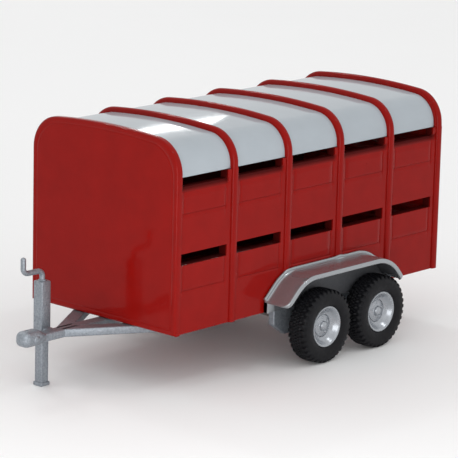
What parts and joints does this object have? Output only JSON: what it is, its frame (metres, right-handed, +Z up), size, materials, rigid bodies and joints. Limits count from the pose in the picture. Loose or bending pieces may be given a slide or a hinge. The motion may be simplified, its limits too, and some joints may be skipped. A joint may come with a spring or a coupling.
{
  "type": "twin-axle livestock trailer scale model",
  "caption": "Die-cast scale model of a twin-axle livestock trailer: hollow hooped body with slotted side vents, rear ramp on a hinge, A-shaped drawbar and jack leg.",
  "frame": {"origin": "on the floor, under the middle of the whole length and width", "axes": "+Z up, the drawbar points along -Y, the trailer's left side faces +X"},
  "size_m": [0.0304, 0.0616, 0.03],
  "materials": {
    "body_paint": "gloss red",
    "roof_paint": "gloss pale grey",
    "chassis_paint": "satin silver over grainy casting",
    "rim_paint": "satin silver",
    "axle_steel": "plain",
    "tyre_rubber": "matt black"
  },
  "bodies": {
    "trailer_body": {"front_wall": "body_paint", "left_wall": "body_paint", "right_wall": "body_paint", "floor": "body_paint", "rear_header": "body_paint", "hoop_1": "body_paint", "hoop_2": "body_paint", "hoop_3": "body_paint", "hoop_4": "body_paint", "hoop_5": "body_paint", "hoop_6": "body_paint", "roof_skin": "roof_paint", "drawbar_beam": "chassis_paint", "drawbar_rail_left": "chassis_paint", "drawbar_rail_right": "chassis_paint", "coupling_head": "chassis_paint", "jack_sleeve": "chassis_paint", "jack_leg": "chassis_paint", "jack_crank": "chassis_paint", "chassis_rail_left": "chassis_paint", "chassis_rail_right": "chassis_paint", "front_crossmember": "chassis_paint", "rear_crossmember": "chassis_paint", "suspension_left": "chassis_paint", "suspension_right": "chassis_paint", "mudguard_left": "chassis_paint", "mudguard_right": "chassis_paint", "ramp_hinge_rod": "chassis_paint"},
    "front_wheels": {"front_axle_pin": "axle_steel", "rim_front_left": "rim_paint", "rim_front_right": "rim_paint", "tyre_front_left": "tyre_rubber", "tyre_front_right": "tyre_rubber"},
    "rear_wheels": {"rear_axle_pin": "axle_steel", "rim_rear_left": "rim_paint", "rim_rear_right": "rim_paint", "tyre_rear_left": "tyre_rubber", "tyre_rear_right": "tyre_rubber"},
    "ramp": {"rear_ramp": "body_paint"}
  },
  "joints": [
    {"name": "front_axle_spin", "type": "hinge", "parent": "trailer_body", "child": "front_wheels", "pos_m": [0, 0.0058, 0.0045], "axis": [1, 0, 0], "continuous": true},
    {"name": "rear_axle_spin", "type": "hinge", "parent": "trailer_body", "child": "rear_wheels", "pos_m": [0, 0.016, 0.0045], "axis": [1, 0, 0], "continuous": true},
    {"name": "rear_ramp_hinge", "type": "hinge", "parent": "trailer_body", "child": "ramp", "pos_m": [0, 0.0303, 0.00747], "axis": [-1, 0, 0], "range_deg": [0, 112]}
  ]
}
